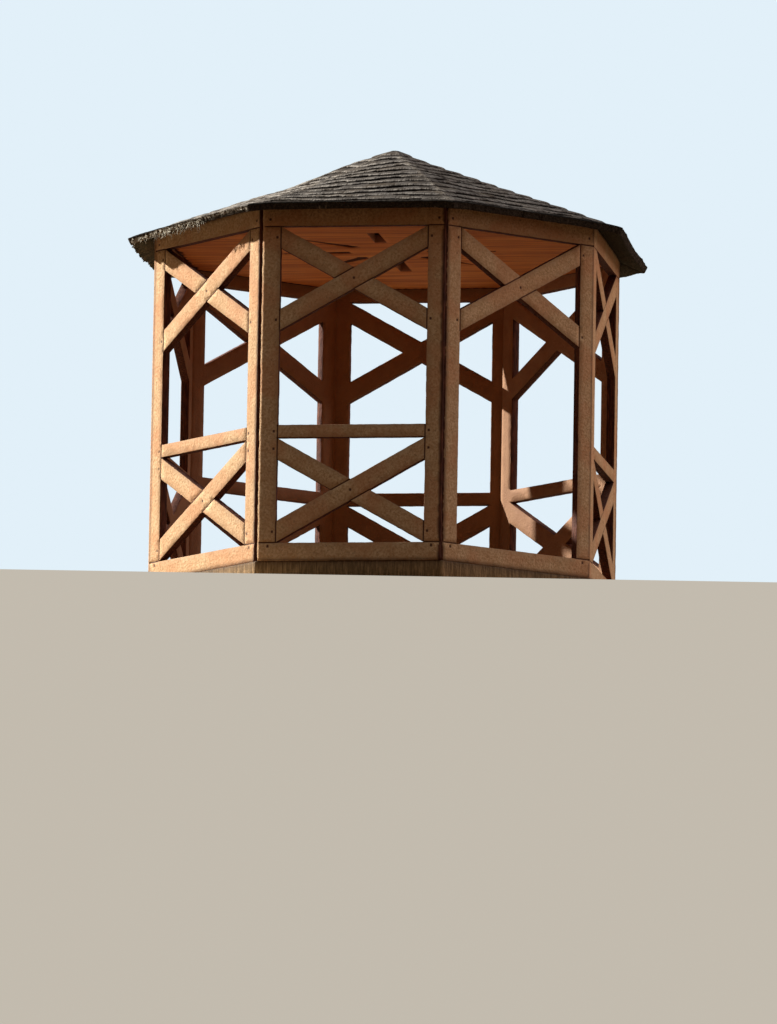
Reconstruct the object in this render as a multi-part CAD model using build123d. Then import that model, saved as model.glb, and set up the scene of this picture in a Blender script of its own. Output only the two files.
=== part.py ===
from build123d import *
import os
from math import cos, radians, sin, tan

# A small eight-sided garden pavilion, a scale model cut from sheet: eight lattice wall panels of fibreboard
# stand edge to edge on a floor plate, a ceiling plate is let in between their tops, and eight facets of
# thick card make the low pointed roof. One side has no hand rail and no lower braces: the entrance.
# Millimetres, +Z up, the origin is under the middle of the floor, and the entrance faces -Y.

# Driving sizes of the plan
side_count = 8
room_side = 20.5
board = 1.0
corner_groove = 0.5

# Driving sizes of a wall panel, read as the timbers that it stands for
wall_height = 40.9
stile_width = 1.8
sill_depth = 2.1
hand_rail_depth = 1.5
top_rail_depth = 2.5
brace_bay_height = 12.0
brace_end_height = 2.5

# Driving sizes of the floor and the ceiling, with the two slots cut in the ceiling for the roof's tabs
floor_thickness = 2.0
ceiling_thickness = 1.0
ceiling_clearance = 0.03
tab_slot_width = 1.3
tab_slot_length = 6.2
tab_slot_start = 6.4

# Driving sizes of the roof
roof_card = 0.85
roof_slope = 22.0
eave_overhang = 2.8
apex_flat_radius = 0.4

# Worked out from the sizes above
sector = 360 / side_count
half_sector = radians(sector / 2)
room_apothem = room_side / 2 / tan(half_sector)
wall_apothem = room_apothem + board
panel_outer_width = 2 * (wall_apothem * sin(half_sector) - corner_groove / 2) / cos(half_sector)
wall_top = floor_thickness + wall_height
bay_width = room_side - 2 * stile_width
lower_bay_bottom = floor_thickness + sill_depth
lower_bay_top = lower_bay_bottom + brace_bay_height
upper_bay_top = wall_top - top_rail_depth
upper_bay_bottom = upper_bay_top - brace_bay_height

# The sides in order round the plan, anticlockwise seen from above, each with its turn from the entrance
side_names = (
    "entrance",
    "front_right",
    "right",
    "back_right",
    "back",
    "back_left",
    "left",
    "front_left",
)
side_turns = {name: place * sector for place, name in enumerate(side_names)}
tab_slot_sides = ("front_left", "back_right")


def upright_rectangle(width, bottom, top):
    """A rectangle in a panel's front view, centred on the panel: x across, y up from the ground."""
    return Pos(0, (bottom + top) / 2) * Rectangle(width, top - bottom)


def crossed_braces(bottom, top):
    """Two bars that cross from corner to corner of a bay, each cut off upright against the stiles."""
    edge = bay_width / 2
    rising_bar = Polygon(
        (-edge, bottom),
        (edge, top - brace_end_height),
        (edge, top),
        (-edge, bottom + brace_end_height),
        align=None,
    )
    return rising_bar + rising_bar.mirror(Plane.YZ)


def panel_blank():
    """The uncut board of the side that faces -Y. Its long edges lean a little past square, which leaves
    the V-shaped groove of corner_groove between neighbours, while their inner edges meet."""
    plan = Polygon(
        (-room_side / 2, -room_apothem),
        (-panel_outer_width / 2, -wall_apothem),
        (panel_outer_width / 2, -wall_apothem),
        (room_side / 2, -room_apothem),
        align=None,
    )
    return extrude(Pos(0, 0, floor_thickness) * plan, wall_height)


def panel_opening(has_hand_rail):
    """The front view of all that is cut out of a board: the space between stiles, sill and top rail, less
    the upper braces and, on a railed side, less the hand rail and the lower braces."""
    opening = upright_rectangle(bay_width, lower_bay_bottom, upper_bay_top)
    opening -= crossed_braces(upper_bay_bottom, upper_bay_top)
    if has_hand_rail:
        opening -= upright_rectangle(bay_width, lower_bay_top, lower_bay_top + hand_rail_depth)
        opening -= crossed_braces(lower_bay_bottom, lower_bay_top)
    return opening


def wall_panel(has_hand_rail):
    """One lattice wall panel, cut from a single board."""
    cutter = extrude(Plane.XZ * panel_opening(has_hand_rail), wall_apothem + board)
    return panel_blank() - cutter


def plate(apothem, bottom, thickness):
    """A flat eight-sided plate with its sides square to the panels."""
    outline = RegularPolygon(apothem, side_count, major_radius=False, rotation=-90 + sector / 2)
    return extrude(Pos(0, 0, bottom) * outline, thickness)


def ceiling_plate():
    """The plate let in flush between the panels' tops, with its two long slots for the roof's tabs."""
    blank = plate(room_apothem - ceiling_clearance, wall_top - ceiling_thickness, ceiling_thickness)
    slot_middle = -(tab_slot_start + tab_slot_length / 2)
    half_way_up = wall_top - ceiling_thickness / 2
    slot = Pos(0, slot_middle, half_way_up) * Box(tab_slot_width, tab_slot_length, 2 * ceiling_thickness)
    for side in tab_slot_sides:
        blank -= Rot(0, 0, side_turns[side]) * slot
    return blank


def roof_facet():
    """The facet over the side that faces -Y: a sheet that rests on the panel's outer top edge, cut square at
    the eave, level at the tip, and upright along the hips where it meets its neighbours."""
    slope = radians(roof_slope)
    top_reach = wall_apothem + eave_overhang
    under_reach = top_reach - roof_card * sin(slope)

    def under_height(reach):
        return wall_top + (wall_apothem - reach) * tan(slope)

    def top_height(reach):
        return under_height(reach) + roof_card / cos(slope)

    section = Polygon(
        (-under_reach, under_height(under_reach)),
        (-top_reach, top_height(top_reach)),
        (-apex_flat_radius, top_height(apex_flat_radius)),
        (0, top_height(apex_flat_radius)),
        (0, under_height(0)),
        align=None,
    )
    half_width = top_reach * tan(half_sector)
    sheet = extrude(Plane.YZ * section, half_width, both=True)
    wedge = Polygon((0, 0), (-half_width, -top_reach), (half_width, -top_reach), align=None)
    return sheet & extrude(wedge, top_height(0))


def build_pieces():
    """Every piece of the pavilion in its place, by name."""
    pieces = {
        "floor_plate": plate(wall_apothem, 0, floor_thickness),
        "ceiling_plate": ceiling_plate(),
    }
    open_panel = wall_panel(has_hand_rail=False)
    railed_panel = wall_panel(has_hand_rail=True)
    facet = roof_facet()
    for side, turn in side_turns.items():
        panel = open_panel if side == "entrance" else railed_panel
        pieces[side + "_panel"] = Rot(0, 0, turn) * panel
        pieces[side + "_roof_facet"] = Rot(0, 0, turn) * facet
    return pieces


os.makedirs("parts", exist_ok=True)
for name, piece in build_pieces().items():
    export_step(piece, f"parts/{name}.step")
    size = piece.bounding_box().size
    print(f"{name}: {piece.volume:.1f} mm3, {size.X:.2f} x {size.Y:.2f} x {size.Z:.2f} mm")
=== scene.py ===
# %% [markdown]
# A garden pavilion cut from board and card
#
# The object is a small scale model of an eight-sided garden pavilion. Its walls are eight flat lattice
# panels, each cut from one sheet of fibreboard, with the joints between the timbers burnt in as thin lines.
# The roof is dark card engraved with courses of shingles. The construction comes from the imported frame, and
# this lesson makes what the frame leaves out: eased cut edges, burnt joint lines, nail marks, the shingles,
# the torn fibres at one eave, and the finish of every surface.

# %% Tools and the frame
import math

import bmesh
import bpy
import numpy as np
from mathutils import Matrix, Vector
from mathutils.geometry import delaunay_2d_cdt


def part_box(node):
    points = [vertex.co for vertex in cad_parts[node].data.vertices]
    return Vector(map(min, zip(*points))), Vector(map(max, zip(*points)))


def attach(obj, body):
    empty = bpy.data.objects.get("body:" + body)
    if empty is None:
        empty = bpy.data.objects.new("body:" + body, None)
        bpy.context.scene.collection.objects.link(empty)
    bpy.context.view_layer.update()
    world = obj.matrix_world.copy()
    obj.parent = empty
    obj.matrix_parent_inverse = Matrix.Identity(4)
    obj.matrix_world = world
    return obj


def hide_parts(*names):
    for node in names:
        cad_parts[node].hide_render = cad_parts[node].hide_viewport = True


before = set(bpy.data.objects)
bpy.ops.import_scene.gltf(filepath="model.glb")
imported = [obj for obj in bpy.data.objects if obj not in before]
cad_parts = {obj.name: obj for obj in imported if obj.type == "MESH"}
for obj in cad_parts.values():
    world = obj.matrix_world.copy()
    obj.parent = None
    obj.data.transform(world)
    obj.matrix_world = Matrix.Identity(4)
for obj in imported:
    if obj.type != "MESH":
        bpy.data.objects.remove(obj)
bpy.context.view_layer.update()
print("nodes in the frame:", len(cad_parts))

# %% [markdown]
# Sizes are in millimetres, as a model maker would write them, and become metres only when a mesh is filled.
# Where a size can be read from the frame it is, so a panel is as tall as the node that it stands for. The
# widths of the timbers can't be read from a box, so they are named here.

# %% Sizes of the model
MM = 0.001
SIDES = 8
SECTOR = 2 * math.pi / SIDES
BOARD = 1.0
ROOM_SIDE = 20.5
STILE = 1.8
SILL = 2.1
HAND_RAIL = 1.5
TOP_RAIL = 2.5
BRACE_BAY = 12.0
BRACE_END = 2.5

floor_low, floor_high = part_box("floor_plate")
panel_low, panel_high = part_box("entrance_panel")
FLOOR_THICKNESS = (floor_high.z - floor_low.z) / MM
WALL_TOP = panel_high.z / MM
WALL_HEIGHT = (panel_high.z - panel_low.z) / MM
WALL_APOTHEM = -panel_low.y / MM
OUTER_WIDTH = (panel_high.x - panel_low.x) / MM
BAY_HALF = ROOM_SIDE / 2 - STILE

SIDE_NAMES = ["entrance", "front_right", "right", "back_right", "back", "back_left", "left", "front_left"]
TURNS = {name: place * SECTOR for place, name in enumerate(SIDE_NAMES)}
print("wall height", round(WALL_HEIGHT, 2), "mm, outer width of a panel", round(OUTER_WIDTH, 2), "mm")

# %% [markdown]
# Sheet material is never quite even. Random numbers on a square lattice, blended smoothly between its
# points, give a gentle unevenness that is the same on each run, because every lattice has its own seed.

# %% Smooth random numbers
LATTICE = 61


def smooth_step(values, low, high):
    """0 below low, 1 above high, and 3t^2 - 2t^3 between them."""
    share = np.clip((values - low) / (high - low), 0, 1)
    return share * share * (3 - 2 * share)


def smooth_noise(points, size, seed):
    """Value noise from -1 to 1: random numbers on a lattice `size` apart, blended by 3t^2 - 2t^3. The same
    numbers come again after LATTICE of them."""
    table = np.random.default_rng(seed).uniform(-1, 1, (LATTICE, LATTICE))
    place = np.asarray(points) / size
    cell = np.floor(place).astype(int)
    part = smooth_step(place - cell, 0, 1)
    left, low = cell[..., 0] % LATTICE, cell[..., 1] % LATTICE
    right, high = (left + 1) % LATTICE, (low + 1) % LATTICE
    below = table[low, left] * (1 - part[..., 0]) + table[low, right] * part[..., 0]
    above = table[high, left] * (1 - part[..., 0]) + table[high, right] * part[..., 0]
    return below * (1 - part[..., 1]) + above * part[..., 1]


def waves(points, kinds):
    """Several smooth noises added up, each given by its height, its size and its seed."""
    return sum(height * smooth_noise(points, size, seed) for height, size, seed in kinds)


# %% [markdown]
# A mesh is filled from whole arrays: first the points, then the corners of all its faces in one row, and
# then its marks, which are numbers that each point carries for the shaders to read.


# %% Meshes from arrays
def fill_mesh(name, points, faces, marks, finishes=None):
    """A new object from arrays: points in millimetres, groups of faces of equal length, marks as a number
    or a vector a point, by name, and the number of the finish of each group. Normals are made to point
    outwards on each closed shell."""
    mesh = bpy.data.meshes.new(name)
    corners = np.concatenate([np.asarray(group).ravel() for group in faces])
    lengths = np.concatenate([np.full(len(group), len(group[0])) for group in faces])
    numbers = np.repeat(finishes or [0] * len(faces), [len(group) for group in faces])
    mesh.vertices.add(len(points))
    mesh.vertices.foreach_set("co", (np.asarray(points) * MM).astype(np.float32).ravel())
    mesh.loops.add(len(corners))
    mesh.loops.foreach_set("vertex_index", corners.astype(np.int32))
    mesh.polygons.add(len(lengths))
    starts = np.concatenate([[0], np.cumsum(lengths)[:-1]])
    mesh.polygons.foreach_set("loop_start", starts.astype(np.int32))
    mesh.polygons.foreach_set("material_index", numbers.astype(np.int32))
    mesh.update(calc_edges=True)
    for label, values in marks.items():
        values = np.asarray(values, np.float32)
        kind, field = ("FLOAT", "value") if values.ndim == 1 else ("FLOAT_VECTOR", "vector")
        mesh.attributes.new(label, kind, "POINT").data.foreach_set(field, values.ravel())
    shell = bmesh.new()
    shell.from_mesh(mesh)
    bmesh.ops.recalc_face_normals(shell, faces=shell.faces)
    open_edges = sum(1 for edge in shell.edges if len(edge.link_faces) != 2)
    shell.to_mesh(mesh)
    shell.free()
    triangles = int((lengths - 2).sum())
    piece = bpy.data.objects.new(name, mesh)
    bpy.context.scene.collection.objects.link(piece)
    print(name, "has", triangles, "triangles and", open_edges, "open edges")
    return piece


# %% [markdown]
# A cut sheet is a flat shape with holes. The outline is divided into short steps, lines are engraved into
# its face, and everything is joined by a Delaunay triangulation that keeps the given edges. The rim of that
# triangulation then becomes the cut edge: an eased corner, the side wall, and an eased corner at the back.
#
# Two kinds of edge show on the real sheets. The cut-outs are charred down their whole depth. The outline
# is burnt only at its arris and again deeper down, and between them a pale strip of bare board shows.

# %% Sizes of the cut and the engraving
CUT_EASE = 0.06
CUT_WOBBLE = 0.02
WOBBLE_SIZE = 0.45
CHAR_START = 0.28
ARRIS_BURN = 0.4
ARRIS_REACH = 0.1
SCORCH_REACH = 0.25
UNEVENNESS = 0.006
UNEVENNESS_SIZE = 1.7
EDGE_STEP = 0.3
LINE_WIDTH = 0.24
GROOVE_STEEPNESS = 0.45
NAIL_HALF = np.array([0.2, 0.36])
NAIL_DEPTH = 0.09
NAIL_ROUND = 10
FILL_STEP = 0.65

# The loose spots of the face: how far they stray from their grid and stay off lines, in steps of the grid
FILL_STRAY = 0.2
FILL_CLEARANCE = 0.4

# The triangulation joins points nearer than this, and a point this near to the outline lies on it
WELD = 1e-5
ON_OUTLINE = 1e-3

# The four rings down a side wall: where in the ease the first one lies, how much of the ease each has
# reached, and how charred each is on the outline and in a cut-out
FIRST_RING = 0.3
RING_OUT = (0.7, 1.0, 1.0, 1.0)
OUTLINE_CUT = (0.3, 0.38, 0.5, 1.0)
OPENING_CUT = (0.6, 1.0, 1.0, 1.0)


# %% Plane geometry on whole arrays
def inset(corners, distance):
    """A closed outline moved to its left: each corner goes along the sum of the unit normals of its two
    edges, divided by one plus their dot product, so both edges move by the same distance."""
    ahead = np.roll(corners, -1, axis=0) - corners
    ahead /= np.linalg.norm(ahead, axis=1)[:, None]
    normal = np.stack([-ahead[:, 1], ahead[:, 0]], axis=1)
    before = np.roll(normal, 1, axis=0)
    return corners + distance * (normal + before) / (1 + (normal * before).sum(axis=1))[:, None]


def divided(start, end, step):
    """Points along a straight line from start up to but without its end, no more than step apart."""
    count = max(1, math.ceil(np.linalg.norm(end - start) / step))
    return start + (end - start) * np.arange(count)[:, None] / count


def spread_to_lines(points, lines):
    """For each point and line, the share of the line at which its shadow falls, held between the two ends,
    and how far away that spot is."""
    start = lines[:, 0]
    along = lines[:, 1] - start
    reach = points[:, None] - start
    share = np.clip((reach * along).sum(axis=2) / (along * along).sum(axis=1), 0, 1)
    return share, np.linalg.norm(reach - share[..., None] * along, axis=2)


def distance_to_lines(points, lines):
    """How far each point is from the nearest line."""
    return spread_to_lines(points, lines)[1].min(axis=1)


def groove_at(points, lines, widths):
    """How deep in a V-shaped groove each point is, 0 at its brim and 1 at its bottom, and how wide the
    groove is there: one minus the distance to the middle line over half the width."""
    share, away = spread_to_lines(points, lines)
    width = widths[:, 0] + (widths[:, 1] - widths[:, 0]) * share
    sunk = np.clip(1 - 2 * away / width, 0, 1)
    deepest = (sunk * width).argmax(axis=1)
    rows = np.arange(len(points))
    return sunk[rows, deepest], width[rows, deepest]


def loop_edges(corners):
    """The edges of a closed outline as lines with two ends."""
    return np.stack([corners, np.roll(corners, -1, axis=0)], axis=1)


def inside(points, edges):
    """True where a ray to the right crosses the outlines an odd number of times."""
    x, y = points[:, :1], points[:, 1:]
    ax, ay = edges[:, 0, 0], edges[:, 0, 1]
    bx, by = edges[:, 1, 0], edges[:, 1, 1]
    straddles = (ay > y) != (by > y)
    rise = np.where(by == ay, 1, by - ay)
    crossing = ax + (y - ay) * (bx - ax) / rise
    return (straddles & (x < crossing)).sum(axis=1) % 2 == 1


def spot_grid(low, high, step):
    """The spots of a square grid from one corner to the other."""
    across, up = np.meshgrid(*[np.arange(a, b, step) for a, b in zip(low, high)])
    return np.stack([across.ravel(), up.ravel()], axis=1)


def on_side(side, along, out):
    """The x and y of spots so far along a side and so far out from the middle: along times the side's own
    direction plus out times the direction that it faces."""
    turn = TURNS[side]
    return along * math.cos(turn) + out * math.sin(turn), along * math.sin(turn) - out * math.cos(turn)


# %% The face of a sheet
def drawn_face(eased, lines, widths, nails, seed):
    """Points and triangles between the eased loops. The loops, the brims and the middle of each burnt line,
    and a ring round each nail are kept as edges, and loose spots fill the rest."""
    rims = np.concatenate([loop_edges(corners) for corners in eased])
    avoided = [rims]
    points = []
    pairs = []

    def add_chain(chain, closed):
        first = sum(len(group) for group in points)
        here = np.arange(first, first + len(chain))
        pairs.append(np.stack([here, np.roll(here, -1)], axis=1)[: None if closed else -1])
        points.append(chain)

    for corners in eased:
        add_chain(np.concatenate([divided(a, b, EDGE_STEP) for a, b in loop_edges(corners)]), True)
    for (start, end), (start_width, end_width) in zip(lines, widths):
        ahead = (end - start) / np.linalg.norm(end - start)
        half = np.array([-ahead[1], ahead[0]]) / 2
        for sign in (-1, 0, 1):
            a, b = start + sign * start_width * half, end + sign * end_width * half
            add_chain(np.concatenate([divided(a, b, EDGE_STEP), [b]]), False)
    turns = np.arange(NAIL_ROUND) * math.tau / NAIL_ROUND
    for nail in nails:
        add_chain(nail + NAIL_HALF * np.stack([np.cos(turns), np.sin(turns)], axis=1), True)
        points.append(nail[None])
    if len(lines):
        avoided.append(lines)
    if len(nails):
        upright = [0, NAIL_HALF[1]]
        avoided.append(np.stack([nails - upright, nails + upright], axis=1))
    low, high = rims.reshape(-1, 2).min(axis=0), rims.reshape(-1, 2).max(axis=0)
    grid = spot_grid(low, high, FILL_STEP)
    grid += np.random.default_rng(seed).uniform(-FILL_STRAY, FILL_STRAY, grid.shape) * FILL_STEP
    free = distance_to_lines(grid, np.concatenate(avoided)) > FILL_CLEARANCE * FILL_STEP
    points.append(grid[inside(grid, rims) & free])

    flat = np.concatenate(points).tolist()
    made, _, faces, *_ = delaunay_2d_cdt(flat, np.concatenate(pairs).tolist(), [], 0, WELD)
    face = np.array(made)
    triangles = np.array(faces)
    triangles = triangles[inside(face[triangles].mean(axis=1), rims)]
    used, triangles = np.unique(triangles, return_inverse=True)
    return face[used], triangles.reshape(-1, 3)


def engraving(face, outline, lines, widths, nails, seed):
    """How burnt and how deep each point of the face is. A groove is a V, GROOVE_STEEPNESS times as deep as
    it is wide, and a nail is an oval pit. The arris is burnt too, and the whole face is a little uneven."""
    burn = np.zeros(len(face))
    depth = np.zeros(len(face))
    if len(lines):
        burn, groove_width = groove_at(face, lines, widths)
        depth = GROOVE_STEEPNESS * burn * groove_width
    if len(nails):
        away = np.linalg.norm((face[:, None] - nails) / NAIL_HALF, axis=2).min(axis=1)
        pit = np.clip(1 - away, 0, 1)
        burn = np.maximum(burn, pit)
        depth = np.maximum(depth, NAIL_DEPTH * pit)
    arris = np.clip(1 - distance_to_lines(face, outline) / ARRIS_REACH, 0, 1)
    burn = np.maximum(burn, ARRIS_BURN * arris)
    return burn, depth + UNEVENNESS * (1 + smooth_noise(face, UNEVENNESS_SIZE, seed))


def rim_of(face, triangles):
    """The edges that only one triangle has, their points, and the way out of the sheet at each point: the
    sum of the unit normals of its two edges, over half the square of its length, so that both edges move
    by the same distance."""
    directed = np.concatenate([triangles[:, [0, 1]], triangles[:, [1, 2]], triangles[:, [2, 0]]])
    codes = directed[:, 0] * len(face) + directed[:, 1]
    back_codes = directed[:, 1] * len(face) + directed[:, 0]
    rim = directed[~np.isin(codes, back_codes)]
    ahead = face[rim[:, 1]] - face[rim[:, 0]]
    ahead /= np.linalg.norm(ahead, axis=1)[:, None]
    normal = np.stack([ahead[:, 1], -ahead[:, 0]], axis=1)
    total = np.zeros((len(face), 2))
    np.add.at(total, rim[:, 0], normal)
    np.add.at(total, rim[:, 1], normal)
    rim_points = np.unique(rim)
    outwards = total[rim_points]
    return rim, rim_points, outwards / (0.5 * (outwards**2).sum(axis=1))[:, None]


# %% A sheet with holes, engraved lines and nail marks
def cut_sheet(loops, lines, widths, nails, thickness, seed):
    """A closed mesh of a sheet whose face is the plane z = 0 and whose back is at -thickness. Loops run with
    the material on their left, the outline first. Marks: back is 1 on the back; burn is the share of the
    way down a groove or pit, and fades from the outline into the face; cut is 1 on the charred side walls;
    scorch fades from the cut-outs into the face."""
    eased = [inset(corners, CUT_EASE) for corners in loops]
    outline = loop_edges(eased[0])
    face, triangles = drawn_face(eased, lines, widths, nails, seed)
    burn, depth = engraving(face, outline, lines, widths, nails, seed)
    rim, rim_points, outwards = rim_of(face, triangles)

    edge = face[rim_points]
    outer = (distance_to_lines(edge, outline) < ON_OUTLINE).astype(float)
    out = CUT_EASE + CUT_WOBBLE * (smooth_noise(edge, WOBBLE_SIZE, seed + 1) - 1)
    downs = (FIRST_RING * CUT_EASE, CUT_EASE, CHAR_START, thickness - CUT_EASE)
    rings = [
        np.column_stack([edge + outwards * (share * out)[:, None], np.full(len(edge), -down)])
        for share, down in zip(RING_OUT, downs)
    ]
    count, walls_count = len(face), len(rim_points)
    place = np.full(count, -1)
    place[rim_points] = np.arange(walls_count)
    a, b = place[rim[:, 0]], place[rim[:, 1]]
    starts = 2 * count + walls_count * np.arange(len(rings))
    rows = [rim_points] + [start + np.arange(walls_count) for start in starts] + [rim_points + count]
    quads = [np.stack([up[a], low[a], low[b], up[b]], axis=1) for up, low in zip(rows[:-1], rows[1:])]
    faces = [np.concatenate([triangles, triangles[:, ::-1] + count]), np.concatenate(quads)]

    scorch = np.zeros(count)
    if len(loops) > 1:
        cut_outs = np.concatenate([loop_edges(corners) for corners in eased[1:]])
        scorch = np.exp(-distance_to_lines(face, cut_outs) / SCORCH_REACH)
    chars = zip(OUTLINE_CUT, OPENING_CUT)
    cut = [outer * on_outline + (1 - outer) * in_opening for on_outline, in_opening in chars]
    ring_count = walls_count * len(rings)
    marks = {
        "back": np.concatenate([np.zeros(count), np.ones(count), np.zeros(ring_count)]),
        "burn": np.concatenate([burn, np.zeros(count + ring_count)]),
        "scorch": np.concatenate([scorch, scorch, np.zeros(ring_count)]),
        "cut": np.concatenate([np.zeros(2 * count)] + cut),
    }
    plates = [np.column_stack([face, -depth]), np.column_stack([face, np.full(count, -thickness)])]
    return np.concatenate(plates + rings), faces, marks


# %% [markdown]
# The roof has settled, and the walls have to stay under it, so its sizes and its sag come before the walls.
# The card is a sheet on eight flat slopes. Years of handling have bent it: the hip at the back of the left
# side hangs low, the next hip is soft, and two stretches of eave droop. Each of these is one smooth lobe,
# and every point of the roof moves by the sum of them.

# %% Sizes of the roof and how the card has settled
ROOF_SLOPE = math.radians(22)
ROOF_CARD = 0.85
APEX_FLAT = 0.4
HALF_SPREAD = math.tan(SECTOR / 2)

facet_low, facet_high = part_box("entrance_roof_facet")
TOP_REACH = -facet_low.y / MM
APEX_HEIGHT = facet_high.z / MM
UNDER_REACH = TOP_REACH - ROOF_CARD * math.sin(ROOF_SLOPE)
ROOF_LENGTH = TOP_REACH / math.cos(ROOF_SLOPE)
APEX_START = APEX_FLAT / math.cos(ROOF_SLOPE)

# Each lobe: its bearing in sectors from the entrance, its spread, how far it falls and moves outwards, the
# reach where it starts and where it is full, and the share of it that is left at the eave
SETTLING = [
    (5.5, 0.14, 0.76, 0.0, 2.5, 14, 0.75),
    (5.5, 0.05, -0.2, 0.0, 13.5, 17, 0.0),
    (6.5, 0.05, 0.45, 0.0, 2.0, 9, 0.0),
    (7.5, 0.03, -0.2, 0.0, 2.0, 8, 0.0),
    (1.5, 0.12, 0.25, 0.0, 6.0, 18, 0.4),
    (4.9, 0.076, 0.9, 0.35, 24, 29.5, 1.0),
    (1.15, 0.09, 0.4, 0.0, 23, 29.5, 1.0),
    (0.5, 0.01, 0.1, 0.33, 25, 29.5, 1.0),
    (1.66, 0.009, 0.45, 0.0, 23, 29.5, 1.0),
]

# Bands are pairs, here and further down: where something begins, and where it is full
EAVE_BAND = (20, 28)
APEX_SETTLE = 0.1
APEX_SETTLE_SPREAD = 6.0
APEX_SHIFT = 0.45
APEX_SHIFT_SPREAD = 3.2
APEX_SHIFT_BEARING = math.radians(54)
RIPPLE = [(0.05, 5.0, 77)]
RIPPLE_BAND = (3, 8)
HIP_ROUNDING = 0.1
HIP_ROUNDING_SPREAD = 1.2
HIP_ROUNDING_BAND = (2, 6)

# The part of a wall's top rail, and of the ceiling's thickness, that shrinks where the roof hangs low
PRESSED_SHARE = 0.9


def settled(x, y, z):
    """The card after years of handling. A lobe is a bell round its bearing, exp(-(1 - cos of the angle) /
    spread), times a smooth rise along the slope. The ridges of the hips are rounded by another bell, and
    the apex leans off the centre by a third one."""
    reach = np.hypot(x, y)
    bearing = np.arctan2(x, -y)
    fall = APEX_SETTLE * np.exp(-((reach / APEX_SETTLE_SPREAD) ** 2))
    outwards = 0
    for sectors, spread, amount, push, start, full, left_at_eave in SETTLING:
        bell = np.exp(-(1 - np.cos(bearing - sectors * SECTOR)) / spread)
        eave = 1 - (1 - left_at_eave) * smooth_step(reach, *EAVE_BAND)
        lobe = bell * smooth_step(reach, start, full) * eave
        fall = fall + amount * lobe
        outwards = outwards + push * lobe
    sectors_off = bearing / SECTOR - 0.5
    off_hip = reach * np.abs(np.sin((sectors_off - np.round(sectors_off)) * SECTOR))
    ridge = np.exp(-((off_hip / HIP_ROUNDING_SPREAD) ** 2))
    fall = fall + HIP_ROUNDING * ridge * smooth_step(reach, *HIP_ROUNDING_BAND)
    ripple = waves(np.stack([x, y], axis=-1), RIPPLE) * smooth_step(reach, *RIPPLE_BAND)
    bell = APEX_SHIFT * np.exp(-((reach / APEX_SHIFT_SPREAD) ** 2))
    return (
        x + bell * math.sin(APEX_SHIFT_BEARING) + outwards * np.sin(bearing),
        y - bell * math.cos(APEX_SHIFT_BEARING) - outwards * np.cos(bearing),
        z - fall + ripple,
    )


def top_height(reach):
    """Height of the sheet's upper face, level inside the apex flat."""
    return APEX_HEIGHT - (np.maximum(reach, APEX_FLAT) - APEX_FLAT) * math.tan(ROOF_SLOPE)


def under_height(reach):
    """Height of the underside, which rests on the outer edges of the walls."""
    return WALL_TOP + (WALL_APOTHEM - reach) * math.tan(ROOF_SLOPE)


def kept_under_roof(x, y, z, reach, depth):
    """Heights pressed down where the settled roof would cut through a wall or the ceiling: the top `depth`
    of the piece shrinks by what the underside has fallen below its top."""
    fallen = np.clip(WALL_TOP - settled(x, y, under_height(reach))[2], 0, None)
    return z - fallen * np.clip(1 - (WALL_TOP - z) / depth, 0, 1)


print("from apex to eave", round(ROOF_LENGTH, 2), "mm")

# %% [markdown]
# A wall panel reads as a timber frame: sill, top rail and two stiles, with two braces crossed in a bay
# under the top rail. Seven panels also have a hand rail with a second pair of braces under it. The real
# panel is one sheet, so all that shows of the joints is a burnt line where two timbers would meet, and a
# small dark mark where a nail would be. The brace that rises to the right passes over the other one.

# %% The outlines and the burnt lines of a panel
NAIL_INSET = 0.42
CORNER_NAIL = (0.7, 0.85)


def bay_shapes(bottom):
    """The four triangles that crossed braces leave in a bay, and the two lines where one passes over."""
    top = bottom + BRACE_BAY
    low, high = bottom + BRACE_END, top - BRACE_END
    slope = (BRACE_BAY - BRACE_END) / (2 * BAY_HALF)
    tip = (BRACE_BAY - 2 * BRACE_END) / (2 * slope)
    middle = (bottom + top) / 2
    under = np.array([[0, bottom + slope * BAY_HALF], [BAY_HALF, bottom], [-BAY_HALF, bottom]])
    over = np.array([[0, top - slope * BAY_HALF], [-BAY_HALF, top], [BAY_HALF, top]])
    left = np.array([[-BAY_HALF + tip, middle], [-BAY_HALF, low], [-BAY_HALF, high]])
    right = np.array([[BAY_HALF - tip, middle], [BAY_HALF, high], [BAY_HALF, low]])
    crossing = [[left[0], over[0]], [under[0], right[0]]]
    return under, over, left, right, crossing


def mirrored(shapes):
    """Lines or spots with their copies across the middle of the panel."""
    shapes = np.array(shapes, float)
    return np.concatenate([shapes, shapes * [-1, 1]])


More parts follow.
